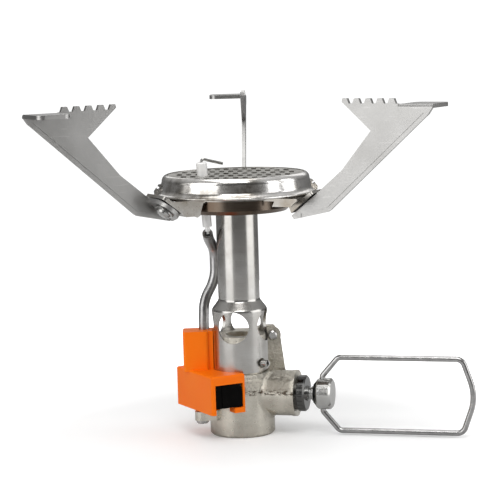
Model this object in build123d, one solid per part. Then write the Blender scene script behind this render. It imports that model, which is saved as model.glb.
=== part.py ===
"""Compact canister-top camping stove: one solid per real piece, in millimetres.

The origin is the centre of the gas canister socket's mouth, +Z runs up the burner's axis, and the
valve's control points towards +X. Three folding pot supports turn on inclined rivets under the
burner, the valve spindle turns in the valve body, the wire handle swings in the control hub, and
the igniter's button slides in its housing.
"""

import os
from math import cos, radians, sin, sqrt, tan

from build123d import *

# ---- driving dimensions -------------------------------------------------------------------------
BODY_RADIUS = 10.0
SHOULDER_TOP = 19.3
NECK_RADIUS = 7.7
NECK_TOP = 30.8
JET_SEAT_TOP = 26.4

SOCKET_RADIUS = 5.3
SOCKET_DEPTH = 8.2
THREAD_LENGTH = 6.0

VALVE_AZIMUTH = -15.0
VALVE_HEIGHT = 12.6
BRANCH_RADIUS = 6.95
BRANCH_END = 17.8
SPINDLE_RADIUS = 2.25
RUNNING_GAP = 0.08
NUT_END = 20.8
HUB_START = 23.0
HUB_END = 28.7
HUB_RADIUS = 4.75
WIRE_RADIUS = 0.85
PEG_STATION = 25.6
WIRE_HALF_HEIGHT = 11.3
WIRE_FAR_CORNER = 68.6
WIRE_FAR_MIDDLE = 72.6

TUBE_RADIUS = 6.4
TUBE_WALL = 0.7
SLEEVE_RADIUS = 8.5
SLEEVE_BOTTOM = 19.7
SLEEVE_TOP = 38.8
FLARE_TOP = 41.6
TUBE_TOP = 71.0
AIR_HOLE_RADIUS = 4.85
AIR_HOLE_HEIGHT = 33.8
AIR_HOLE_AZIMUTH = -106.5
ROLL_PIN_AZIMUTH = -42.0
ROLL_PIN_HEIGHT = 22.4

CUP_BOTTOM = 69.0
CUP_RADIUS = 16.6
CUP_FLANGE_BOTTOM = 74.0
SHEET = 0.8
RIM_BOTTOM = 74.3
BRIM_RADIUS = 24.3
RIM_TOP = 80.5
SCREEN_BOTTOM = 79.8
SCREEN_THICKNESS = 0.5
SCREEN_RADIUS = 21.2
SLOT_SPACING = 2.85
SLOT_ROW = 7.9
SLOT_LENGTH = 5.3
SLOT_WIDTH = 1.6

ARM_SHEET = 1.2
ARM_AZIMUTHS = {"left": 208.0, "right": 328.0, "back": 88.0}
HINGE_R = 25.6
HINGE_Z = 72.2
HINGE_T = 4.3
HINGE_SLOPE = 38.0
PLATE_T = -1.5
HINGE_GAP = 0.3
PIVOT_HOLE = 1.6
COIN_DEPTH = 0.18
PIVOT_SHANK = 1.52

ELECTRODE_X = -9.55
ELECTRODE_Y = -5.6
ELECTRODE_TILT = -3.5
CERAMIC_RADIUS = 1.65

IGNITER_AZIMUTH = -62.5
HOUSING_BOTTOM = 8.5
HOUSING_TOP = 20.3
HOUSING_BACK = -14.0
HOUSING_FRONT = 10.2
HOUSING_OUTER = -15.5
HOUSING_INNER = -4.0
HOUSING_WALL = 1.1
BUTTON_BACK = 8.2
STEM_Y = -12.85
STEM_RADIUS = 1.0
BARREL_TOP = 32.2


# ---- helpers ------------------------------------------------------------------------------------
def ring(outer, inner, bottom, top):
    """Round washer or tube about +Z."""
    height = top - bottom
    body = Cylinder(outer, height, align=(Align.CENTER, Align.CENTER, Align.MIN))
    if inner > 0:
        body -= Cylinder(inner, height, align=(Align.CENTER, Align.CENTER, Align.MIN))
    return Pos(0, 0, bottom) * body


def box(low, high):
    """Block between two corners."""
    size = [b - a for a, b in zip(low, high)]
    return Pos(*low) * Box(*size, align=(Align.MIN, Align.MIN, Align.MIN))


def turned(points):
    """Solid of revolution about +Z from (radius, height) points."""
    face = make_face(Plane.XZ * Polyline(*points, close=True))
    return revolve(face, Axis.Z)


def slab(points, near, far):
    """Plate with its outline in XZ, between two distances along +Y."""
    face = Pos(0, near, 0) * make_face(Plane.XZ * Polyline(*points, close=True))
    return extrude(face, amount=far - near, dir=(0, 1, 0))


def along_valve(shape):
    """Moves a shape built about +Z, with +Z as the distance from the burner's axis, onto the valve."""
    return Rot(0, 0, VALVE_AZIMUTH) * Pos(0, 0, VALVE_HEIGHT) * Rot(0, 90, 0) * shape


def pipe(points, outer, inner=0.0, radii=None):
    """Round bar or tube along straight runs joined by tangent arcs."""
    spots = [Vector(*p) for p in points]
    if radii is None:
        radii = [corner_radius(*spots[i - 1:i + 2]) for i in range(1, len(spots) - 1)]
    path = FilletPolyline(*spots, radius=radii) if len(spots) > 2 else Line(*spots)
    start = Plane(origin=path @ 0, z_dir=path % 0)
    section = start * Circle(outer)
    if inner > 0:
        section -= start * Circle(inner)
    return sweep(section, path=path)


def corner_radius(before, corner, after):
    """Largest tangent arc that uses 0.45 of the shorter of two runs."""
    turn = (corner - before).get_angle(after - corner)
    shorter = min((corner - before).length, (after - corner).length)
    return 0.45 * shorter / tan(radians(turn / 2))


def igniter_frame():
    """Local frame of the igniter: X towards its button, Y towards the valve body, Z up."""
    a = radians(IGNITER_AZIMUTH)
    return Plane(origin=(0, 0, 0), x_dir=(cos(a), sin(a), 0), z_dir=(0, 0, 1))


def arm_point(along, normal):
    """Point (r, z) from distances along the hinge lug and normal to it, measured from the pivot."""
    a = radians(HINGE_SLOPE)
    return (
        HINGE_R + along * cos(a) - normal * sin(a),
        HINGE_Z + along * sin(a) + normal * cos(a),
    )


def hinge_plane(normal=0.0):
    """Plane of the hinge lug in the arm's own (r, t, z) frame, its normal along the pivot."""
    a = radians(HINGE_SLOPE)
    r, z = arm_point(0, normal)
    return Plane(origin=(r, HINGE_T, z), x_dir=(cos(a), 0, sin(a)), z_dir=(-sin(a), 0, cos(a)))


# ---- valve body and gas path --------------------------------------------------------------------
def rear_upright():
    """Cast upright behind the mixer tube, with a riveted ear on its right."""
    upright = slab([
        (-7.5, 8.0), (13.9, 8.0), (13.9, 16.9), (12.5, 28.8), (10.6, 31.6), (6.5, 31.6),
        (4.5, 30.6), (-5.5, 30.6), (-7.5, 28.0),
    ], 9.0, 12.0)
    corners = upright.edges().filter_by(Axis.Y).sort_by(Axis.Z)[-6:]
    upright = fillet(corners, 0.9)
    ear_boss = Pos(10.0, 9.0, 28.7) * Rot(90, 0, 0) * Cylinder(
        2.7, 0.9, align=(Align.CENTER, Align.CENTER, Align.MIN)
    )
    root = box((-7.5, 4.0, 8.0), (13.9, 12.0, 17.4))
    return upright + ear_boss + fillet(root.edges().filter_by(Axis.Z), 1.5)


def is_branch_joint(edge):
    """True for the curve where the valve branch leaves the body's round side."""
    middle = edge.center()
    a = radians(VALVE_AZIMUTH)
    along = middle.X * cos(a) + middle.Y * sin(a)
    return edge.geom_type not in (GeomType.LINE, GeomType.CIRCLE) and 5.0 < along < 12.0


def valve_body():
    """Nickel-plated casting with socket, branch, neck, rear upright and igniter lug."""
    cast = ring(BODY_RADIUS, 0, 0, 30) + along_valve(ring(BRANCH_RADIUS, 0, 0, BRANCH_END))
    cast = fillet([e for e in cast.edges() if is_branch_joint(e)], 1.2)
    cast -= turned([(0, SHOULDER_TOP), (8.4, SHOULDER_TOP), (10.02, 17.6), (10.02, 31), (0, 31)])
    cast -= ring(30, BODY_RADIUS, VALVE_HEIGHT + BRANCH_RADIUS, 31)
    cast -= ring(11, 0, -1, 0.6) - turned([(0, -1), (9.4, -1), (9.4, 0), (10.0, 0.6), (0, 0.6)])
    cast += ring(NECK_RADIUS, 0, SHOULDER_TOP - 1, NECK_TOP)
    cast += along_valve(ring(BRANCH_RADIUS + 0.15, 0, BRANCH_END - 1.3, BRANCH_END))
    cast += rear_upright()
    cast -= ring(SLEEVE_RADIUS + 0.3, NECK_RADIUS, SHOULDER_TOP + 0.01, 60)
    lug = box((-2.3, -13.8, 5.5), (2.3, -8.0, 8.3)) + Pos(0, -13.8, 0) * ring(2.3, 0, 5.5, 8.3)
    lug -= Pos(0, -13.8, 0) * ring(1.1, 0, 5.4, 8.4)
    cast += igniter_frame() * lug

    cast -= ring(SOCKET_RADIUS, 0, -0.1, THREAD_LENGTH)
    cast -= ring(SOCKET_RADIUS + 0.4, 0, THREAD_LENGTH, SOCKET_DEPTH)
    cast -= ring(1.6, 0, SOCKET_DEPTH - 0.1, VALVE_HEIGHT)
    cast -= ring(0.9, 0, VALVE_HEIGHT, JET_SEAT_TOP)
    cast -= ring(2.5, 0, JET_SEAT_TOP - 4.6, JET_SEAT_TOP + 0.1)
    cast -= ring(4.4, 0, JET_SEAT_TOP, NECK_TOP + 0.1)
    cast -= igniter_frame() * box((5.6, -11.0, 9.7), (12.0, -4.6, 17.9))
    spindle_bore = SPINDLE_RADIUS + RUNNING_GAP
    cast -= along_valve(ring(1.7, 0, 0, 8.0))
    cast -= along_valve(ring(spindle_bore, 0, 7.0, BRANCH_END + 0.1))
    cast -= along_valve(ring(4.3, 0, 14.0, BRANCH_END + 0.1))
    cast -= roll_pin_bar(1.12, 0, 2.5, 9.5)
    cast -= Pos(10.0, 14.0, 28.7) * Rot(90, 0, 0) * Cylinder(1.1, 12)
    return cast


def roll_pin_bar(outer, inner, start, end):
    """Radial bar at the roll pin's place, from one distance to another from the axis."""
    bar = Rot(0, 90, 0) * ring(outer, inner, start, end)
    return Rot(0, 0, ROLL_PIN_AZIMUTH) * Pos(0, 0, ROLL_PIN_HEIGHT) * bar


def roll_pin():
    """Slotted spring pin that holds the mixer tube on the neck."""
    pin = roll_pin_bar(1.1, 0.6, 3.0, 10.9)
    slot = box((2.9, -0.25, 0), (11.0, 0.25, 1.3))
    return pin - Rot(0, 0, ROLL_PIN_AZIMUTH) * Pos(0, 0, ROLL_PIN_HEIGHT) * slot


def ear_rivet():
    """Rivet through the rear upright's ear, with a formed head at each side."""
    shank = ring(1.05, 0, -2.6, 2.4)
    head = turned([(0, 2.4), (1.7, 2.4), (1.5, 3.2), (1.0, 3.5), (0, 3.5)])
    tail = turned([(0, -3.4), (1.2, -3.3), (1.6, -2.6), (0, -2.6)])
    return Pos(10.0, 10.5, 28.7) * Rot(90, 0, 0) * (shank + head + tail)


def canister_seal():
    """O-ring that the canister's valve seats on."""
    return Pos(0, 0, SOCKET_DEPTH - 0.82) * Torus(4.4, 0.8)


def inlet_pin():
    """Hollow pin that opens the canister's valve, with a shoulder above the seal."""
    tip = THREAD_LENGTH + 0.4
    pin = turned([
        (0, tip), (1.1, tip), (1.3, tip + 0.4), (1.3, SOCKET_DEPTH - 0.7), (2.6, SOCKET_DEPTH - 0.7),
        (2.6, SOCKET_DEPTH - 0.02), (1.55, SOCKET_DEPTH - 0.02), (1.55, 10.4), (0, 10.4),
    ])
    pin -= ring(0.5, 0, tip - 0.1, 10.5)
    return pin - Pos(0, 0, tip) * Box(0.5, 3.0, 0.8)


def inlet_filter():
    """Sintered disc above the inlet pin."""
    return ring(1.5, 0, 10.5, 11.3)


def gas_jet():
    """Brass jet screwed into the neck, with a hexagonal head and a drilled nose."""
    shank = ring(2.42, 0, JET_SEAT_TOP - 3.6, JET_SEAT_TOP)
    head = Pos(0, 0, JET_SEAT_TOP) * extrude(RegularPolygon(3.4, 6), amount=1.6)
    nose = turned([
        (0, JET_SEAT_TOP + 1.6), (2.2, JET_SEAT_TOP + 1.6), (1.3, JET_SEAT_TOP + 2.6),
        (0, JET_SEAT_TOP + 2.6),
    ])
    jet = shank + head + nose
    jet -= ring(1.2, 0, JET_SEAT_TOP - 3.7, JET_SEAT_TOP + 1.2)
    return jet - ring(0.25, 0, JET_SEAT_TOP + 1.0, JET_SEAT_TOP + 3.0)


def jet_filter():
    """Sintered disc below the jet."""
    return ring(2.35, 0, JET_SEAT_TOP - 4.6, JET_SEAT_TOP - 3.8)


# ---- control ------------------------------------------------------------------------------------
def valve_spindle():
    """Needle, threaded stretch with an O-ring groove, and plain end for the hub."""
    return along_valve(turned([
        (0, 2.6), (0.4, 2.8), (1.3, 6.6), (1.3, 8.6), (SPINDLE_RADIUS, 9.2), (SPINDLE_RADIUS, 12.0),
        (1.5, 12.0), (1.5, 13.1), (SPINDLE_RADIUS, 13.1), (SPINDLE_RADIUS, NUT_END + 0.5),
        (SPINDLE_RADIUS - 0.35, NUT_END + 0.7), (SPINDLE_RADIUS - 0.35, HUB_START - 0.8),
        (SPINDLE_RADIUS, HUB_START - 0.6), (SPINDLE_RADIUS, HUB_END - 0.9), (0, HUB_END - 0.9),
    ])) - hub_pin_bar(0.72, 12.0)


def spindle_seal():
    """O-ring in the spindle's groove."""
    return along_valve(Pos(0, 0, 12.55) * Torus(1.91, 0.38))


def bonnet_nut():
    """Round, finely grooved bonnet nut that closes the branch round the spindle."""
    nut = turned([
        (0, BRANCH_END + 0.02), (5.2, BRANCH_END + 0.02), (5.2, BRANCH_END + 0.5),
        (5.55, BRANCH_END + 0.7), (5.55, NUT_END - 0.5), (5.1, NUT_END), (0, NUT_END),
    ])
    for place in PolarLocations(5.55, 24):
        nut -= place * Pos(0, 0, BRANCH_END + 0.9) * Cylinder(
            0.16, 1.5, align=(Align.CENTER, Align.CENTER, Align.MIN)
        )
    nut += ring(4.2, 0, 14.1, BRANCH_END + 0.1)
    return along_valve(nut - ring(SPINDLE_RADIUS + RUNNING_GAP, 0, 14.0, NUT_END + 0.1))


def control_hub():
    """Turned hub on the spindle's end, cross-drilled for the wire handle."""
    hub = turned([
        (0, HUB_START), (3.1, HUB_START), (4.4, HUB_START + 1.1), (HUB_RADIUS, HUB_START + 1.6),
        (HUB_RADIUS, HUB_END - 0.6), (HUB_RADIUS - 0.6, HUB_END), (0, HUB_END),
    ])
    hub -= ring(SPINDLE_RADIUS + 0.02, 0, HUB_START - 0.1, HUB_END - 0.8)
    drill = Pos(0, 0, PEG_STATION) * Rot(0, 90, 0) * Cylinder(WIRE_RADIUS + RUNNING_GAP, 12)
    hub -= drill - ring(2.5, 0, PEG_STATION - 2, PEG_STATION + 2)
    return along_valve(hub) - hub_pin_bar(0.72, 12.0)


def hub_pin_bar(radius, length):
    """Bar across the hub and the spindle, level with the handle's holes."""
    return along_valve(Pos(0, 0, PEG_STATION) * Rot(0, 0, -13) * Rot(90, 0, 0) * Cylinder(radius, length))


def hub_pin():
    """Pin that holds the hub on the spindle."""
    return hub_pin_bar(0.7, 2 * HUB_RADIUS - 0.3)


def wire_handle():
    """Bent wire loop whose two ends turn in the hub's cross holes."""
    top = WIRE_HALF_HEIGHT
    upper = [(PEG_STATION, 2.75), (PEG_STATION, 5.5), (30.6, top), (WIRE_FAR_CORNER, top)]
    spots = upper + [(WIRE_FAR_MIDDLE, 0)] + [(r, -z) for r, z in reversed(upper)]
    a = radians(VALVE_AZIMUTH)
    points = [(r * cos(a), r * sin(a), VALVE_HEIGHT + z) for r, z in spots]
    return pipe(points, WIRE_RADIUS, radii=[1.3, 2.0, 2.6, 14.0, 2.6, 2.0, 1.3])


# ---- mixer tube and burner ----------------------------------------------------------------------
def flare_edges(tube):
    """The two outer circles where the tube's flare starts and ends."""
    return [
        edge for edge in tube.edges().filter_by(GeomType.CIRCLE)
        if (edge.radius > SLEEVE_RADIUS - 0.01 and abs(edge.center().Z - SLEEVE_TOP) < 0.01)
        or (abs(edge.radius - TUBE_RADIUS) < 0.01 and abs(edge.center().Z - FLARE_TOP) < 0.01)
    ]


def mixer_tube():
    """Stainless tube with a wide lower sleeve, four air holes and a collar under the burner."""
    inner = TUBE_RADIUS - TUBE_WALL
    tube = turned([
        (SLEEVE_RADIUS, SLEEVE_BOTTOM), (SLEEVE_RADIUS, SLEEVE_TOP), (TUBE_RADIUS, FLARE_TOP),
        (TUBE_RADIUS, CUP_BOTTOM - 0.85), (7.6, CUP_BOTTOM - 0.85), (7.6, CUP_BOTTOM - 0.05),
        (TUBE_RADIUS, CUP_BOTTOM - 0.05), (TUBE_RADIUS, TUBE_TOP), (inner, TUBE_TOP),
        (inner, FLARE_TOP + 0.3), (SLEEVE_RADIUS - 0.75, SLEEVE_TOP + 0.3),
        (SLEEVE_RADIUS - 0.75, SLEEVE_BOTTOM),
    ])
    tube = fillet(flare_edges(tube), 1.3)
    for quarter in range(4):
        hole = Rot(0, 90, 0) * ring(AIR_HOLE_RADIUS, 0, 4.0, 12.0)
        azimuth = AIR_HOLE_AZIMUTH + 90 * quarter
        tube -= Rot(0, 0, azimuth) * Pos(0, 0, AIR_HOLE_HEIGHT) * hole
    return tube - roll_pin_bar(1.6, 0, 5.0, 12.0)


def electrode_place():
    """Where the electrode crosses z = 74, leaning a little outwards as it rises."""
    return Pos(ELECTRODE_X, ELECTRODE_Y, 74.0) * Rot(0, ELECTRODE_TILT, 0)


def electrode_hole(radius):
    """Clearance for the ceramic electrode through the burner."""
    return electrode_place() * ring(radius, 0, -14, 16)


def burner_cup():
    """Drawn steel cup under the flame screen, flanged at its top."""
    flange_top = CUP_FLANGE_BOTTOM + SHEET
    cup = turned([
        (TUBE_RADIUS + 0.05, CUP_BOTTOM), (CUP_RADIUS - 1.2, CUP_BOTTOM), (CUP_RADIUS, CUP_BOTTOM + 1.2),
        (CUP_RADIUS, CUP_FLANGE_BOTTOM), (22.2, CUP_FLANGE_BOTTOM), (22.2, flange_top),
        (CUP_RADIUS - SHEET, flange_top), (CUP_RADIUS - SHEET, CUP_BOTTOM + 1.5),
        (CUP_RADIUS - 1.5, CUP_BOTTOM + SHEET), (TUBE_RADIUS + 0.05, CUP_BOTTOM + SHEET),
    ])
    return cup - electrode_hole(CERAMIC_RADIUS + 0.1)


def burner_rim():
    """Polished ring round the burner with a flared brim and a pierced ear at each side."""
    outline = Plane.XZ * (
        Line((22.3, RIM_BOTTOM), (BRIM_RADIUS, RIM_BOTTOM))
        + ThreePointArc((BRIM_RADIUS, RIM_BOTTOM), (BRIM_RADIUS + 0.3, 74.65), (BRIM_RADIUS, 75.0))
        + ThreePointArc((BRIM_RADIUS, 75.0), (23.45, 75.6), (23.05, 76.6))
        + Line((23.05, 76.6), (22.55, 78.6))
        + ThreePointArc((22.55, 78.6), (22.1, 79.9), (21.2, RIM_TOP))
        + Line((21.2, RIM_TOP), (20.9, RIM_TOP))
        + Line((20.9, RIM_TOP), (20.9, 80.35))
        + Line((20.9, 80.35), (21.5, 79.6))
        + ThreePointArc((21.5, 79.6), (21.9, 79.0), (22.1, 78.0))
        + Line((22.1, 78.0), (22.3, 76.6))
        + Line((22.3, 76.6), (22.3, RIM_BOTTOM))
    )
    rim = revolve(make_face(outline), Axis.Z)
    for side in (0, 180):
        ear = slab([(22.4, 77.9), (23.5, 77.7), (25.0, 75.7), (24.9, 74.6), (22.4, 74.6)], -1.4, 1.4)
        ear -= Pos(23.75, 0, 76.8) * Rot(90, 0, 0) * Cylinder(0.45, 5)
        rim += Rot(0, 0, side + 5) * ear
    return rim


def flame_screen():
    """Perforated burner top: staggered rows of long rounded slots, shorter beside the rim."""
    plate = Circle(SCREEN_RADIUS - 0.4)
    for row in range(-2, 3):
        for column in range(-7, 8):
            x = (column + 0.5 * (row % 2)) * SLOT_SPACING
            reach = sqrt(max((SCREEN_RADIUS - 1.5) ** 2 - x * x, 0))
            low = max(row * SLOT_ROW - SLOT_LENGTH / 2, -reach)
            high = min(row * SLOT_ROW + SLOT_LENGTH / 2, reach)
            if high - low > SLOT_WIDTH + 0.6:
                slot = Rot(0, 0, 90) * SlotOverall(high - low, SLOT_WIDTH)
                plate -= Pos(x, (low + high) / 2) * slot
    plate = extrude(plate, amount=SCREEN_THICKNESS)
    return Pos(0, 0, SCREEN_BOTTOM) * plate - electrode_hole(CERAMIC_RADIUS + 0.15)


def diffuser():
    """Drilled inner disc that spreads the gas below the flame screen."""
    disc = Circle(15.6)
    for radius, count in ((6.5, 10), (10.0, 16), (13.3, 22)):
        for place in PolarLocations(radius, count):
            disc -= place * Circle(0.9)
    disc = Pos(0, 0, 73.0) * extrude(disc, amount=0.4)
    return disc - electrode_hole(CERAMIC_RADIUS + 0.15)


# ---- pot supports -------------------------------------------------------------------------------
def support_bracket():
    """Pressed ring under the burner with three boxed, inclined hinge lugs."""
    bracket = ring(17.8, CUP_RADIUS + 0.1, 73.3, 73.9)
    web_start = sqrt((CUP_RADIUS + 0.6) ** 2 - 8.0 ** 2)
    inner, outer = HINGE_GAP / 2, HINGE_GAP / 2 + 1.0
    low, high = arm_point(-5.2, inner), arm_point(2.6, inner)
    crest = (arm_point(2.6, outer)[0], 73.9)
    long_web = [
        (web_start, 73.9), (web_start + 1.3, 70.4), (web_start + 1.5, 69.2), (web_start + 2.4, 68.7),
        (web_start + 3.3, 69.1), low, high, crest,
    ]
    short_web = [(19.0, 73.9), (17.8, 71.4), (24.0, 71.4), (26.4, 73.4), (26.2, 73.9)]
    inner_web = [(19.5, 73.9), low, high, crest]
    for azimuth in ARM_AZIMUTHS.values():
        webs = slab(long_web, 7.5, 8.5) + slab(short_web, -8.5, -7.6) + slab(inner_web, -3.6, -2.7)
        lug = Pos(-0.3, 2.45 - HINGE_T) * RectangleRounded(9.8, 12.1, 1.2) - Circle(PIVOT_SHANK + 0.02)
        lug = extrude(hinge_plane(inner) * lug, amount=1.0)
        pad = box((15.0, -8.5, 73.0), (20.2, 8.5, 73.9))
        bracket += Rot(0, 0, azimuth) * (pad + webs + lug)
    bracket -= ring(CUP_RADIUS + 0.1, 0, 60, 73.95)
    return bracket


def arm_outline():
    """Side of a pot support: slanted blade, forked head with five teeth, rounded corners."""
    valley, peak = 101.7, 103.2
    teeth = []
    first, pitch = 39.6, 3.85
    for tooth in range(5):
        centre = first + pitch * tooth
        teeth += [(centre - 0.75, peak), (centre + 0.75, peak)]
        teeth += [(centre + 1.35, valley), (centre + pitch - 1.35, valley)]
    head = [(38.6, 102.2)] + teeth[:-1] + [(57.2, 101.6), (67.0, 101.6), (68.0, 100.6)]
    blade = [(66.6, 98.6), (34.0, 70.2), (33.0, 69.6), (22.4, 67.3)]
    root = [arm_point(-6.4, -HINGE_GAP / 2), arm_point(4.4, -HINGE_GAP / 2)]
    neck = [arm_point(16.0, 0.1), (48.0, 93.8)]
    return blade[::-1] + head[::-1] + neck[::-1] + root[::-1]


def pot_support():
    """One folding support in its own (r, t, z) frame: coined blade, top flange and hinge tab."""
    half = ARM_SHEET / 2
    arm = slab(arm_outline(), PLATE_T - half, PLATE_T + half)

    flange = box((57.4, PLATE_T - half, 100.4), (68.0, 10.0, 101.6))
    flange = fillet(flange.edges().filter_by(Axis.Z).sort_by(Axis.Y)[-2:], 2.2)
    flange += box((57.4, PLATE_T - half, 99.4), (66.8, PLATE_T + half, 101.6))
    arm += flange
    bend = box((57.0, PLATE_T - half - 0.1, 100.5), (68.5, PLATE_T - half + 1.1, 101.7))
    arm -= bend - Pos(57.0, PLATE_T - half + 1.1, 100.5) * Rot(0, 90, 0) * ring(1.1, 0, -1, 13)

    strip = [
        (68.6, 98.6), (35.0, 68.2), (24.0, 65.0), (23.9, 68.95), (32.5, 70.8), (33.2, 71.2),
        (65.2, 99.1), (66.0, 98.0),
    ]
    arm -= slab(strip, PLATE_T - half - 0.1, PLATE_T - half + COIN_DEPTH)
    arm -= slab(strip, PLATE_T + half - COIN_DEPTH, PLATE_T + half + 0.1)

    plane = hinge_plane(-HINGE_GAP / 2 - ARM_SHEET)
    edge_t = PLATE_T - half - HINGE_T
    tab = make_hull(
        (Pos(-1.0, edge_t + half) * Rectangle(10.8, ARM_SHEET)).edges() + Circle(4.5).edges()
    )
    tab -= Circle(PIVOT_HOLE)
    arm += extrude(plane * tab, amount=ARM_SHEET)
    return arm


def hinge_rivet():
    """Shouldered rivet through lug and tab, with a domed head outside the tab."""
    tab_face = -HINGE_GAP / 2 - ARM_SHEET
    lug_back = HINGE_GAP / 2 + 1.0
    rivet = turned([
        (0, lug_back + 0.9), (1.9, lug_back + 0.7), (2.3, lug_back + 0.02), (PIVOT_SHANK, lug_back + 0.02),
        (PIVOT_SHANK, tab_face - 0.75), (2.4, tab_face - 0.75), (2.2, tab_face - 1.35),
        (1.5, tab_face - 1.8), (0, tab_face - 1.9),
    ])
    return hinge_plane() * rivet


def hinge_washer():
    """Spring washer under the rivet's head."""
    tab_face = -HINGE_GAP / 2 - ARM_SHEET
    return hinge_plane() * ring(3.1, PIVOT_SHANK + 0.05, tab_face - 0.7, tab_face - 0.1)


# ---- ignition -----------------------------------------------------------------------------------
LEAD_ROUTE = [
    (-9.0, -4.4, 62.6), (-8.8, 0.0, 60.4), (-7.15, 4.6, 56.6), (-7.1, 4.5, 47.6),
    (-10.8, 3.1, 41.2), (-11.15, 2.5, 35.0), (-11.15, 2.5, 28.4),
]


def electrode_ceramic():
    """Glazed insulator through the burner, with a collar under the screen and a thin tail."""
    insulator = turned([
        (0.5, -10.6), (0.75, -10.6), (0.75, -9.2), (CERAMIC_RADIUS - 0.25, -9.2),
        (CERAMIC_RADIUS - 0.1, 3.9), (2.4, 4.1), (2.4, 5.1), (CERAMIC_RADIUS, 5.2),
        (CERAMIC_RADIUS, 10.0), (CERAMIC_RADIUS - 0.3, 10.4), (0.5, 10.4),
    ])
    return electrode_place() * insulator


def electrode_wire():
    """Spark wire through the insulator, its tip bent over the burner."""
    wire = pipe([(0, 0, -11.4), (0, 0, 11.5), (6.4, 1.0, 9.4)], 0.45, radii=[0.7])
    return electrode_place() * wire


def lead_sheath():
    """Bent metal sheath that carries the ignition lead beside the mixer tube."""
    return pipe(LEAD_ROUTE[:-1] + [(-11.15, 2.5, 29.0)], 1.6, 0.95)


def ignition_lead():
    """Insulated lead inside the sheath, from the electrode to the piezo module."""
    return pipe(LEAD_ROUTE, 0.85)


def barrel_outline():
    """Plan of the housing's barrel, with a flat web towards the mixer tube."""
    barrel = Pos(-13.7, 1.0) * RectangleRounded(7.9, 8.0, 1.0)
    return barrel + Pos(-9.4, 1.4) * RectangleRounded(3.6, 6.6, 0.3)


def igniter_housing():
    """Orange moulded housing: hollow lower box beside the valve body and an upright barrel."""
    frame = igniter_frame()
    wall = HOUSING_WALL
    shell = box(
        (HOUSING_BACK, HOUSING_OUTER, HOUSING_BOTTOM), (HOUSING_FRONT, HOUSING_INNER, HOUSING_TOP)
    )
    shell = fillet(shell.edges().filter_by(Axis.Z), 0.7)
    shell = fillet(shell.edges().filter_by(Axis.X).sort_by(Axis.Z)[-2:], 0.6)
    shell = frame * shell
    shell += extrude(Pos(0, 0, HOUSING_TOP - 0.5) * barrel_outline(), amount=BARREL_TOP - HOUSING_TOP + 0.5)
    shell -= ring(BODY_RADIUS + 0.2, 0, 5, SHOULDER_TOP + 0.15)
    shell -= ring(SLEEVE_RADIUS + 0.15, 0, SHOULDER_TOP, 40)
    cavity = box(
        (HOUSING_BACK + wall, HOUSING_OUTER + wall, HOUSING_BOTTOM + wall),
        (HOUSING_FRONT - 1.4, HOUSING_INNER - wall, HOUSING_TOP - wall),
    )
    cavity = frame * cavity - ring(BODY_RADIUS + 0.2 + wall, 0, 5, 40)
    mouth = box((4.9, -14.25, 10.1), (HOUSING_FRONT + 1, -4.9, 17.55))
    notch = box((3.0, -14.1, 5.0), (HOUSING_FRONT + 1, -7.8, 10.2))
    shell -= cavity + frame * mouth + frame * notch
    shell -= Pos(-11.15, 2.5) * ring(1.65, 0, 28.9, BARREL_TOP + 1)
    shell -= Pos(-11.15, 2.5) * ring(0.95, 0, HOUSING_TOP - 2, BARREL_TOP)
    return shell - frame * (Pos(0, -13.8, 0) * ring(1.1, 0, 5, HOUSING_BOTTOM + wall + 0.1))


def igniter_button():
    """Black push button with a stem that runs in the piezo module."""
    front = HOUSING_FRONT - 0.1
    cap = box((BUTTON_BACK, -13.95, 10.35), (front, -5.2, 17.3))
    corner = cap.edges().filter_by(Axis.X).sort_by(lambda e: e.center().Y + e.center().Z)[-1]
    cap = fillet(corner, 1.6)
    cap -= box((front - 0.3, -12.2, 10.0), (front + 0.1, -11.95, 17.5))
    stem = Pos(0, STEM_Y, 13.9) * Rot(0, 90, 0) * ring(STEM_RADIUS, 0, 2.2, front - 1.0)
    return igniter_frame() * (cap + stem)


def piezo_module():
    """Sealed piezo striker block, bored for the button's stem."""
    block = box((-12.6, -14.3, 9.8), (4.6, -11.4, 19.0))
    block = fillet(block.edges().filter_by(Axis.X), 0.5)
    block -= Pos(0, STEM_Y, 13.9) * Rot(0, 90, 0) * ring(STEM_RADIUS + 0.06, 0, -0.2, 4.7)
    return igniter_frame() * block


def igniter_screw():
    """Slotted screw up through the lug into the housing's floor."""
    head = turned([(0, 4.4), (1.5, 4.5), (1.9, 4.9), (1.9, 5.45), (0, 5.45)])
    screw = head + ring(1.0, 0, 5.45, HOUSING_BOTTOM + HOUSING_WALL - 0.1)
    screw -= Pos(0, 0, 4.4) * Box(5, 0.5, 0.9)
    return igniter_frame() * (Pos(0, -13.8, 0) * screw)


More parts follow.
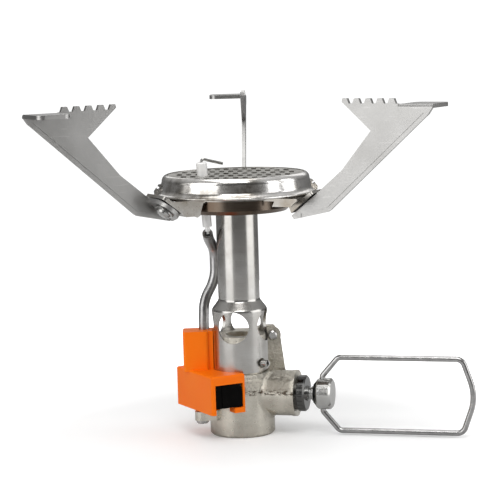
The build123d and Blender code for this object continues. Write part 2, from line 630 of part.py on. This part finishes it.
def main():
    parts = {
        "valve_body": valve_body(),
        "canister_seal": canister_seal(),
        "inlet_pin": inlet_pin(),
        "inlet_filter": inlet_filter(),
        "gas_jet": gas_jet(),
        "jet_filter": jet_filter(),
        "valve_spindle": valve_spindle(),
        "spindle_seal": spindle_seal(),
        "bonnet_nut": bonnet_nut(),
        "control_hub": control_hub(),
        "hub_pin": hub_pin(),
        "wire_handle": wire_handle(),
        "mixer_tube": mixer_tube(),
        "roll_pin": roll_pin(),
        "ear_rivet": ear_rivet(),
        "burner_cup": burner_cup(),
        "burner_rim": burner_rim(),
        "flame_screen": flame_screen(),
        "diffuser": diffuser(),
        "support_bracket": support_bracket(),
        "electrode_ceramic": electrode_ceramic(),
        "electrode_wire": electrode_wire(),
        "lead_sheath": lead_sheath(),
        "ignition_lead": ignition_lead(),
        "igniter_housing": igniter_housing(),
        "igniter_button": igniter_button(),
        "piezo_module": piezo_module(),
        "igniter_screw": igniter_screw(),
    }
    support, rivet, washer = pot_support(), hinge_rivet(), hinge_washer()
    for side, azimuth in ARM_AZIMUTHS.items():
        parts[f"pot_support_{side}"] = Rot(0, 0, azimuth) * support
        parts[f"hinge_rivet_{side}"] = Rot(0, 0, azimuth) * rivet
        parts[f"hinge_washer_{side}"] = Rot(0, 0, azimuth) * washer
    os.makedirs("parts", exist_ok=True)
    for name, part in parts.items():
        export_step(part, f"parts/{name}.step")
    return parts


if __name__ == "__main__":
    main()
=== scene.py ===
from math import cos, pi, radians, sin

import bpy
from mathutils import Matrix, Vector


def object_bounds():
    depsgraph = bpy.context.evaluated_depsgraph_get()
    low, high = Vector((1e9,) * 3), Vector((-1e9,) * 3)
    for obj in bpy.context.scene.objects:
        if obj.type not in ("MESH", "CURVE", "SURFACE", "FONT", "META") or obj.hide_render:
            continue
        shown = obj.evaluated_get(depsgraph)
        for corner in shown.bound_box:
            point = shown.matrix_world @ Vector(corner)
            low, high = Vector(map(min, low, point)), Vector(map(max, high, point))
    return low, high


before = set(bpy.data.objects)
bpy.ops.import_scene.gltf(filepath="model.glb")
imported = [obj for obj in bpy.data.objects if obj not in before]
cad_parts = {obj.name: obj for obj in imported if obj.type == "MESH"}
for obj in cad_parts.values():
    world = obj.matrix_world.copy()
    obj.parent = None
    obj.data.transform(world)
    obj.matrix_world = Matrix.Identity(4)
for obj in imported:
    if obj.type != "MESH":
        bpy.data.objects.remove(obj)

CAD_BOX = [list(map(float, corner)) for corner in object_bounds()]
MM = 0.001
VALVE_AZIMUTH = radians(-15)
VALVE_AXIS = (cos(VALVE_AZIMUTH), sin(VALVE_AZIMUTH), 0.0)
BURNER_AXIS = (0.0, 0.0, 1.0)
WHITE = (1.0, 1.0, 1.0)

# ---- camera: where the photograph was taken from, in the row frame ------------------------------
CAMERA_PLACE = Vector((0.0, -0.600, 0.1304))
CAMERA_YAW = radians(0.36)
CAMERA_PITCH = radians(-7.01)
CAMERA_ROLL = radians(-1.66)
CAMERA_LENS = 142.1
SENSOR = 36.0


def make_camera():
    data = bpy.data.cameras.new("camera")
    data.sensor_width = SENSOR
    data.lens = CAMERA_LENS
    data.clip_start = 0.01
    data.clip_end = 50.0
    camera = bpy.data.objects.new("camera", data)
    bpy.context.scene.collection.objects.link(camera)
    forward = Vector((
        sin(CAMERA_YAW) * cos(CAMERA_PITCH), cos(CAMERA_YAW) * cos(CAMERA_PITCH), sin(CAMERA_PITCH),
    ))
    level = forward.cross(Vector((0, 0, 1))).normalized()
    raised = level.cross(forward)
    right = cos(CAMERA_ROLL) * level + sin(CAMERA_ROLL) * raised
    up = cos(CAMERA_ROLL) * raised - sin(CAMERA_ROLL) * level
    axes = Matrix((right, up, -forward)).transposed().to_4x4()
    camera.matrix_world = Matrix.Translation(CAMERA_PLACE) @ axes
    bpy.context.scene.camera = camera


# ---- node helpers -------------------------------------------------------------------------------
class Paint:
    """A material under construction: short calls that add and link nodes."""

    def __init__(self, name, metallic=0.0, roughness=0.5, **inputs):
        self.material = bpy.data.materials.new(name)
        self.material.use_nodes = True
        self.tree = self.material.node_tree
        self.tree.nodes.clear()
        self.out = self.tree.nodes.new("ShaderNodeOutputMaterial")
        self.shader = self.tree.nodes.new("ShaderNodeBsdfPrincipled")
        self.link(self.shader.outputs["BSDF"], self.out.inputs["Surface"])
        self.set("Metallic", metallic)
        self.set("Roughness", roughness)
        for key, value in inputs.items():
            self.set(key.replace("_", " "), value)
        self.place = self.tree.nodes.new("ShaderNodeTexCoord").outputs["Object"]

    def link(self, source, target):
        self.tree.links.new(source, target)

    def set(self, socket, value):
        target = self.shader.inputs[socket]
        if isinstance(value, tuple) and len(value) == 3 and socket != "Normal":
            value = (*value, 1.0)
        target.default_value = value

    def mapped(self, scale, rotation=(0, 0, 0)):
        node = self.tree.nodes.new("ShaderNodeMapping")
        node.inputs["Scale"].default_value = scale
        node.inputs["Rotation"].default_value = rotation
        self.link(self.place, node.inputs["Vector"])
        return node.outputs["Vector"]

    def noise(self, scale, stretch=(1, 1, 1), detail=3.0, roughness=0.55, rotation=(0, 0, 0)):
        """Noise with features about 1/scale metres across."""
        node = self.tree.nodes.new("ShaderNodeTexNoise")
        node.inputs["Scale"].default_value = scale
        node.inputs["Detail"].default_value = detail
        node.inputs["Roughness"].default_value = roughness
        self.link(self.mapped(stretch, rotation), node.inputs["Vector"])
        return node.outputs["Fac"]

    def cells(self, scale, stretch=(1, 1, 1)):
        node = self.tree.nodes.new("ShaderNodeTexVoronoi")
        node.inputs["Scale"].default_value = scale
        self.link(self.mapped(stretch), node.inputs["Vector"])
        return node.outputs["Distance"]

    def ramp(self, value, stops):
        """Colour ramp from (position, grey or colour) stops."""
        node = self.tree.nodes.new("ShaderNodeValToRGB")
        elements = node.color_ramp.elements
        while len(elements) < len(stops):
            elements.new(0.5)
        for element, (position, colour) in zip(elements, stops):
            if not isinstance(colour, tuple):
                colour = (colour, colour, colour)
            element.position = position
            element.color = (*colour, 1.0)
        self.link(value, node.inputs["Fac"])
        return node.outputs["Color"]

    def math(self, operation, a, b=0.0, c=0.0, clamp=False):
        node = self.tree.nodes.new("ShaderNodeMath")
        node.operation = operation
        node.use_clamp = clamp
        for socket, value in zip(node.inputs, (a, b, c)):
            if hasattr(value, "links"):
                self.link(value, socket)
            else:
                socket.default_value = value
        return node.outputs[0]

    def height(self):
        """Height above the base, in millimetres."""
        node = self.tree.nodes.new("ShaderNodeSeparateXYZ")
        self.link(self.place, node.inputs[0])
        return self.math("MULTIPLY", node.outputs["Z"], 1000.0)

    def axis_distance(self, axis):
        """Distance along a direction in the row frame, in millimetres."""
        node = self.tree.nodes.new("ShaderNodeVectorMath")
        node.operation = "DOT_PRODUCT"
        self.link(self.place, node.inputs[0])
        node.inputs[1].default_value = axis
        return self.math("MULTIPLY", node.outputs["Value"], 1000.0)

    def radius(self):
        """Distance from the burner's axis, in millimetres."""
        node = self.tree.nodes.new("ShaderNodeVectorMath")
        node.operation = "MULTIPLY"
        self.link(self.place, node.inputs[0])
        node.inputs[1].default_value = (1000.0, 1000.0, 0.0)
        size = self.tree.nodes.new("ShaderNodeVectorMath")
        size.operation = "LENGTH"
        self.link(node.outputs[0], size.inputs[0])
        return size.outputs["Value"]

    def band(self, value, low, high, soft):
        """1 between low and high, falling to 0 over soft outside."""
        rise = self.math("MULTIPLY_ADD", value, 1.0 / soft, 1.0 - low / soft, clamp=True)
        fall = self.math("MULTIPLY_ADD", value, -1.0 / soft, 1.0 + high / soft, clamp=True)
        return self.math("MULTIPLY", rise, fall)

    def spread(self, value, low, high):
        """Maps 0..1 to low..high."""
        return self.math("MULTIPLY_ADD", value, high - low, low)

    def mix(self, factor, a, b):
        node = self.tree.nodes.new("ShaderNodeMix")
        node.data_type = "RGBA"
        for socket, value in ((node.inputs[0], factor), (node.inputs[6], a), (node.inputs[7], b)):
            if hasattr(value, "links"):
                self.link(value, socket)
            elif isinstance(value, tuple):
                socket.default_value = (*value, 1.0)
            else:
                socket.default_value = value
        return node.outputs[2]

    def colour(self, source):
        self.link(source, self.shader.inputs["Base Color"])

    def rough(self, source):
        self.link(source, self.shader.inputs["Roughness"])

    def bump(self, source, depth_mm, strength=1.0):
        """Bump of a depth in millimetres; calls stack."""
        node = self.tree.nodes.new("ShaderNodeBump")
        node.inputs["Strength"].default_value = strength
        node.inputs["Distance"].default_value = depth_mm * MM
        self.link(source, node.inputs["Height"])
        normal = self.shader.inputs["Normal"]
        if normal.links:
            self.link(normal.links[0].from_socket, node.inputs["Normal"])
        self.link(node.outputs["Normal"], normal)


# ---- materials ----------------------------------------------------------------------------------
PARTING_LINE = (13.4, 14.4)
TOOL_LINES = 5.2


def casting():
    """Nickel-plated casting: clean turned base, pitted skin above a dashed parting line, painted shade
    on the upper half of the branch.
    """
    p = Paint("nickel_casting", metallic=1.0, roughness=0.3)
    height = p.height()
    upper = p.math("MULTIPLY_ADD", height, 0.5, -6.4, clamp=True)
    pits = p.ramp(p.noise(900.0, detail=5.0, roughness=0.65), [(0.42, 0.0), (0.60, 1.0)])
    near_line = p.band(height, *PARTING_LINE, 0.6)
    dashes = p.ramp(p.noise(900.0, stretch=(1, 1, 2.2), detail=5.0), [(0.50, 0.0), (0.56, 1.0)])
    specks = p.ramp(p.noise(1500.0, detail=5.0, roughness=0.65), [(0.55, 0.0), (0.64, 0.5)])
    above_line = p.band(height, 14.0, 18.5, 1.5)
    stain = p.math(
        "MAXIMUM", p.math("MULTIPLY", dashes, near_line), p.math("MULTIPLY", specks, above_line),
    )
    tone = p.ramp(p.noise(150.0), [(0.3, (0.53, 0.50, 0.435)), (0.7, (0.74, 0.70, 0.615))])
    # painted shade: the upper half of the branch, above the parting line, is darkened towards dark
    # brown
    along_branch = p.band(p.axis_distance(VALVE_AXIS), 10.0, 16.0, 1.5)
    branch_top_painted_shade = p.math("MULTIPLY", along_branch, p.band(height, 14.2, 17.6, 0.8))
    tone_with_painted_shade = p.mix(p.math("MULTIPLY", branch_top_painted_shade, 0.62), tone, (0.13, 0.115, 0.09))
    p.colour(p.mix(stain, tone_with_painted_shade, (0.10, 0.08, 0.06)))
    p.rough(p.math("ADD", p.spread(p.noise(700.0), 0.16, 0.34), p.math("MULTIPLY", upper, 0.06)))
    p.bump(p.math("MULTIPLY", pits, upper), 0.10)
    p.bump(p.noise(2600.0, detail=2.0), 0.012)
    p.bump(p.noise(3000.0, stretch=(0.02, 0.02, 1.0)), 0.006)
    return p.material


def turned_steel(name, axis, grey, rough):
    """Bright turned metal with fine tool lines across an axis."""
    p = Paint(name, metallic=1.0, roughness=rough[0])
    along = p.axis_distance(axis)
    wave = p.tree.nodes.new("ShaderNodeTexNoise")
    wave.noise_dimensions = "1D"
    wave.inputs["Scale"].default_value = TOOL_LINES
    wave.inputs["Detail"].default_value = 4.0
    p.link(along, wave.inputs["W"])
    mark = wave.outputs["Fac"]
    soil = p.noise(320.0, detail=5.0)
    p.colour(p.ramp(soil, [
        (0.25, (grey * 0.82, grey * 0.80, grey * 0.76)), (0.7, (grey, grey, grey * 0.98)),
    ]))
    p.rough(p.spread(p.math("MULTIPLY", soil, mark), rough[0], rough[1] * 2.0))
    p.bump(mark, 0.008)
    return p.material


def drawn_tube():
    """Stainless tube: fine lines round it, faint draw marks along it, soft clouds of tone."""
    p = Paint("tube_steel", metallic=1.0, roughness=0.2)
    rings = p.noise(4200.0, stretch=(0.03, 0.03, 1.0), detail=3.0)
    draw = p.noise(2400.0, stretch=(1.0, 1.0, 0.02), detail=3.0)
    cloud = p.noise(130.0, detail=5.0)
    p.colour(p.ramp(cloud, [(0.3, (0.42, 0.405, 0.38)), (0.72, (0.56, 0.55, 0.53))]))
    p.rough(p.math("ADD", p.spread(rings, 0.12, 0.26), p.math("MULTIPLY", cloud, 0.08)))
    p.bump(rings, 0.008)
    p.bump(draw, 0.006)
    return p.material


def satin_sheet():
    """Rolled stainless sheet of the pot supports: soft grain, faint handling scratches."""
    p = Paint("satin_sheet", metallic=1.0, roughness=0.34)
    grain = p.noise(3600.0, detail=3.0)
    cloud = p.noise(90.0, detail=5.0)
    scratch = p.ramp(
        p.noise(1500.0, stretch=(0.10, 0.10, 1.0), detail=2.0, rotation=(0.3, 0.8, 0.4)),
        [(0.62, 0.0), (0.70, 1.0)],
    )
    base = p.ramp(cloud, [(0.3, (0.36, 0.355, 0.345)), (0.7, (0.45, 0.445, 0.435))])
    p.colour(p.mix(p.math("MULTIPLY", scratch, 0.25), base, (0.60, 0.59, 0.58)))
    p.rough(p.math("ADD", p.spread(grain, 0.26, 0.40), p.math("MULTIPLY", cloud, 0.08)))
    p.bump(grain, 0.010)
    p.bump(scratch, 0.006)
    return p.material


def pressed_bracket():
    """Pressed bracket: as the sheet, a little darker, with heat tint near the burner."""
    p = Paint("pressed_bracket", metallic=1.0, roughness=0.3)
    cloud = p.noise(160.0, detail=5.0)
    p.colour(p.ramp(cloud, [
        (0.28, (0.28, 0.25, 0.21)), (0.6, (0.40, 0.385, 0.36)), (0.8, (0.46, 0.45, 0.43)),
    ]))
    p.rough(p.spread(p.noise(1800.0), 0.20, 0.40))
    p.bump(p.noise(2600.0, detail=4.0), 0.012)
    return p.material


def burner_ring():
    """Polished burner ring: mirror finish broken by water spots and faint straw heat tint."""
    p = Paint("burner_ring", metallic=1.0, roughness=0.12)
    cloud = p.noise(70.0, detail=6.0, roughness=0.6)
    rings = p.noise(3200.0, stretch=(0.02, 0.02, 1.0))
    p.colour(p.ramp(cloud, [
        (0.40, (0.26, 0.235, 0.20)), (0.54, (0.80, 0.78, 0.75)), (0.72, (0.98, 0.97, 0.96)),
    ]))
    p.rough(p.math("ADD", p.spread(cloud, 0.06, 0.20), p.math("MULTIPLY", rings, 0.10)))
    p.bump(rings, 0.006)
    p.bump(p.noise(500.0, detail=3.0), 0.02)
    return p.material


def tinted_cup():
    """Drawn cup under the burner, browned by heat."""
    p = Paint("tinted_cup", metallic=1.0, roughness=0.25)
    cloud = p.noise(110.0, detail=6.0, stretch=(1, 1, 0.4))
    p.colour(p.ramp(cloud, [
        (0.30, (0.10, 0.070, 0.05)), (0.50, (0.15, 0.12, 0.095)), (0.72, (0.21, 0.18, 0.15)),
    ]))
    p.rough(p.spread(cloud, 0.16, 0.36))
    p.bump(p.noise(2600.0, stretch=(0.05, 0.05, 1.0)), 0.010)
    return p.material


def screen_steel():
    """Perforated burner top: dull, scale-flecked steel."""
    p = Paint("screen_steel", metallic=1.0, roughness=0.4)
    cloud = p.noise(260.0, detail=6.0, roughness=0.65)
    p.colour(p.ramp(cloud, [
        (0.32, (0.26, 0.245, 0.22)), (0.55, (0.44, 0.43, 0.40)), (0.75, (0.56, 0.55, 0.52)),
    ]))
    p.rough(p.spread(cloud, 0.30, 0.52))
    p.bump(p.noise(1400.0, detail=4.0), 0.05)
    return p.material


def glazed_ceramic():
    p = Paint("glazed_ceramic", roughness=0.3, Coat_Weight=0.4, Coat_Roughness=0.12)
    cloud = p.noise(260.0, detail=4.0)
    p.colour(p.ramp(cloud, [(0.3, (0.90, 0.885, 0.86)), (0.65, (0.97, 0.965, 0.95))]))
    p.rough(p.spread(cloud, 0.22, 0.42))
    p.bump(p.noise(1500.0, detail=3.0), 0.015)
    return p.material


def orange_plastic():
    """Moulded orange nylon: fine spark-eroded skin, faint flow clouds."""
    p = Paint("orange_moulding", roughness=0.45, Specular_IOR_Level=0.16)
    cloud = p.noise(60.0, detail=3.0)
    p.colour(p.ramp(cloud, [(0.3, (1.0, 0.175, 0.002)), (0.7, (1.0, 0.205, 0.004))]))
    p.rough(p.spread(p.noise(900.0, detail=3.0), 0.30, 0.46))
    p.bump(p.noise(3200.0, detail=3.0), 0.014)
    return p.material


def black_plastic():
    p = Paint("black_moulding", roughness=0.5, Specular_IOR_Level=0.04)
    cloud = p.noise(400.0, detail=4.0)
    p.colour(p.ramp(cloud, [(0.3, (0.0008, 0.0007, 0.0006)), (0.7, (0.003, 0.0028, 0.0026))]))
    p.rough(p.spread(cloud, 0.40, 0.58))
    p.bump(p.noise(2600.0, detail=3.0), 0.018)
    return p.material


def black_rubber():
    p = Paint("black_rubber", roughness=0.6)
    cloud = p.noise(900.0, detail=4.0)
    p.colour(p.ramp(cloud, [(0.3, (0.010, 0.010, 0.010)), (0.7, (0.030, 0.029, 0.028))]))
    p.rough(p.spread(cloud, 0.5, 0.72))
    p.bump(cloud, 0.02)
    return p.material


def machined_brass():
    p = Paint("machined_brass", metallic=1.0, roughness=0.25)
    cloud = p.noise(500.0, detail=4.0)
    p.colour(p.ramp(cloud, [(0.3, (0.50, 0.34, 0.13)), (0.7, (0.72, 0.54, 0.25))]))
    p.rough(p.spread(cloud, 0.18, 0.36))
    p.bump(p.noise(3000.0, stretch=(0.05, 0.05, 1.0)), 0.008)
    return p.material


def sintered_metal():
    p = Paint("sintered_metal", metallic=1.0, roughness=0.6)
    grit = p.cells(3500.0)
    p.colour(p.ramp(grit, [(0.1, (0.42, 0.33, 0.18)), (0.6, (0.20, 0.15, 0.09))]))
    p.rough(p.spread(grit, 0.45, 0.75))
    p.bump(grit, 0.06)
    return p.material


def sheath_steel():
    """Formed sheath of the ignition lead: dull grey steel with drawing marks."""
    p = Paint("sheath_steel", metallic=1.0, roughness=0.32)
    cloud = p.noise(300.0, detail=5.0)
    p.colour(p.ramp(cloud, [(0.3, (0.31, 0.305, 0.30)), (0.7, (0.54, 0.535, 0.53))]))
    p.rough(p.spread(cloud, 0.22, 0.42))
    p.bump(p.noise(2600.0, stretch=(1.0, 1.0, 0.04)), 0.012)
    return p.material


def wire_steel():
    p = Paint("wire_steel", metallic=1.0, roughness=0.2)
    cloud = p.noise(380.0, detail=4.0)
    p.colour(p.ramp(cloud, [(0.3, (0.34, 0.335, 0.33)), (0.7, (0.50, 0.495, 0.49))]))
    p.rough(p.spread(cloud, 0.14, 0.30))
    p.bump(p.noise(3200.0, detail=2.0), 0.006)
    return p.material


def paint_nodes():
    hub = turned_steel("turned_hub", VALVE_AXIS, 0.58, (0.10, 0.22))
    nut = turned_steel("plated_nut", VALVE_AXIS, 0.12, (0.08, 0.20))
    small = turned_steel("small_steel", BURNER_AXIS, 0.48, (0.14, 0.26))
    sheet, plastic, rubber, brass, sinter = (
        satin_sheet(), black_plastic(), black_rubber(), machined_brass(), sintered_metal(),
    )
    finishes = {
        "valve_body": casting(), "bonnet_nut": nut, "control_hub": hub, "wire_handle": wire_steel(),
        "mixer_tube": drawn_tube(), "roll_pin": small, "ear_rivet": small, "igniter_screw": small,
        "burner_cup": tinted_cup(), "burner_rim": burner_ring(), "flame_screen": screen_steel(),
        "diffuser": small, "support_bracket": pressed_bracket(), "electrode_ceramic": glazed_ceramic(),
        "electrode_wire": small, "lead_sheath": sheath_steel(), "ignition_lead": rubber,
        "hub_pin": small, "igniter_housing": orange_plastic(), "igniter_button": plastic,
        "piezo_module": plastic,
        "canister_seal": rubber, "spindle_seal": rubber, "inlet_pin": brass, "gas_jet": brass,
        "valve_spindle": small, "inlet_filter": sinter, "jet_filter": sinter,
    }
    for side in ("left", "right", "back"):
        finishes[f"pot_support_{side}"] = sheet
        finishes[f"hinge_rivet_{side}"] = small
        finishes[f"hinge_washer_{side}"] = small
    for name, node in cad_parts.items():
        node.data.materials.clear()
        node.data.materials.append(finishes[name])


# ---- floor, light and background ----------------------------------------------------------------
LIT_POINT = (0.0, 0.0, 0.055)
SOFT_BOXES = (
    ("left", (-0.56, -0.44, 0.17), (0.58, 0.66), 2.4),
    ("right", (0.68, -0.16, 0.17), (0.62, 0.66), 2.5),
    ("top", (-0.05, 0.0, 0.8), (0.6, 0.5), 1.6),
    ("front", (0.0, -0.55, 0.72), (0.5, 0.3), 2.5),
    ("back", (0.1, 0.8, 0.5), (0.9, 0.4), 0.8),
)
SKY = ((0.0, 0.20), (0.40, 0.16), (0.50, 0.10), (0.60, 0.14), (1.0, 0.50))


def make_floor(low):
    """Pale round floor with a painted glow, faint near the stove and bright towards its edge, so it
    fades into the white background.
    """
    radius, rings, spokes = 0.34, 24, 96
    points = [(0.0, 0.0, low)]
    for ring in range(1, rings + 1):
        for spoke in range(spokes):
            a, r = 2 * pi * spoke / spokes, radius * ring / rings
            points.append((r * cos(a), r * sin(a), low))
    faces = [(0, 1 + k, 1 + (k + 1) % spokes) for k in range(spokes)]
    for ring in range(1, rings):
        inner, outer = 1 + (ring - 1) * spokes, 1 + ring * spokes
        for k in range(spokes):
            n = (k + 1) % spokes
            faces.append((inner + k, outer + k, outer + n, inner + n))
    mesh = bpy.data.meshes.new("floor")
    mesh.from_pydata(points, [], faces)
    floor = bpy.data.objects.new("floor", mesh)
    bpy.context.scene.collection.objects.link(floor)
    p = Paint("studio_floor", roughness=0.5, Specular_IOR_Level=0.2)
    seen = p.tree.nodes.new("ShaderNodeLightPath").outputs["Is Camera Ray"]
    pale = p.ramp(p.noise(8.0), [(0.3, (0.88, 0.88, 0.88)), (0.7, (0.90, 0.90, 0.90))])
    p.colour(p.mix(seen, (0.58, 0.58, 0.58), pale))
    # painted glow: the floor gives off light, rising with distance from the stove; reflections see
    # only a little of it
    away = p.math("MULTIPLY_ADD", p.radius(), 1.0 / 130.0, -0.45, clamp=True)
    p.set("Emission Color", WHITE)
    painted_floor_glow = p.math("MULTIPLY", p.spread(away, 0.15, 1.10), p.spread(seen, 0.12, 1.0))
    p.link(painted_floor_glow, p.shader.inputs["Emission Strength"])
    floor.data.materials.append(p.material)


def area_light(name, place, size, power):
    """Soft box that faces the stove."""
    data = bpy.data.lights.new(name, "AREA")
    data.shape = "RECTANGLE"
    data.size, data.size_y = size
    data.energy = power
    light = bpy.data.objects.new(name, data)
    bpy.context.scene.collection.objects.link(light)
    light.location = place
    light.rotation_euler = (Vector(LIT_POINT) - Vector(place)).to_track_quat("-Z", "Y").to_euler()


def make_world():
    """White to the camera; in reflections a room, dark at eye level and darker in front."""
    world = bpy.data.worlds.new("studio")
    world.use_nodes = True
    bpy.context.scene.world = world
    tree = world.node_tree
    tree.nodes.clear()
    out = tree.nodes.new("ShaderNodeOutputWorld")
    seen = tree.nodes.new("ShaderNodeBackground")
    seen.inputs["Color"].default_value = (*WHITE, 1.0)
    seen.inputs["Strength"].default_value = 1.1
    room = tree.nodes.new("ShaderNodeBackground")
    place = tree.nodes.new("ShaderNodeTexCoord")
    parts = tree.nodes.new("ShaderNodeSeparateXYZ")
    tree.links.new(place.outputs["Generated"], parts.inputs[0])
    ramp = tree.nodes.new("ShaderNodeValToRGB")
    while len(ramp.color_ramp.elements) < len(SKY):
        ramp.color_ramp.elements.new(0.5)
    for element, (position, grey) in zip(ramp.color_ramp.elements, SKY):
        element.position = position
        element.color = (grey, grey, grey, 1.0)
    half = tree.nodes.new("ShaderNodeMath")
    half.operation = "MULTIPLY_ADD"
    half.inputs[1].default_value = half.inputs[2].default_value = 0.5
    tree.links.new(parts.outputs["Z"], half.inputs[0])
    tree.links.new(half.outputs[0], ramp.inputs["Fac"])
    tree.links.new(ramp.outputs["Color"], room.inputs["Color"])
    behind = tree.nodes.new("ShaderNodeMath")
    behind.operation = "MULTIPLY_ADD"
    behind.inputs[1].default_value, behind.inputs[2].default_value = 0.35, 1.15
    tree.links.new(parts.outputs["Y"], behind.inputs[0])
    tree.links.new(behind.outputs[0], room.inputs["Strength"])
    path = tree.nodes.new("ShaderNodeLightPath")
    mix = tree.nodes.new("ShaderNodeMixShader")
    tree.links.new(path.outputs["Is Camera Ray"], mix.inputs["Fac"])
    tree.links.new(room.outputs[0], mix.inputs[1])
    tree.links.new(seen.outputs[0], mix.inputs[2])
    tree.links.new(mix.outputs[0], out.inputs["Surface"])


def make_studio(low):
    make_floor(low)
    make_world()
    for name, place, size, power in SOFT_BOXES:
        area_light(name, place, size, power)


make_camera()
paint_nodes()
make_studio(CAD_BOX[0][2])
bpy.context.scene.view_settings.view_transform = "Standard"
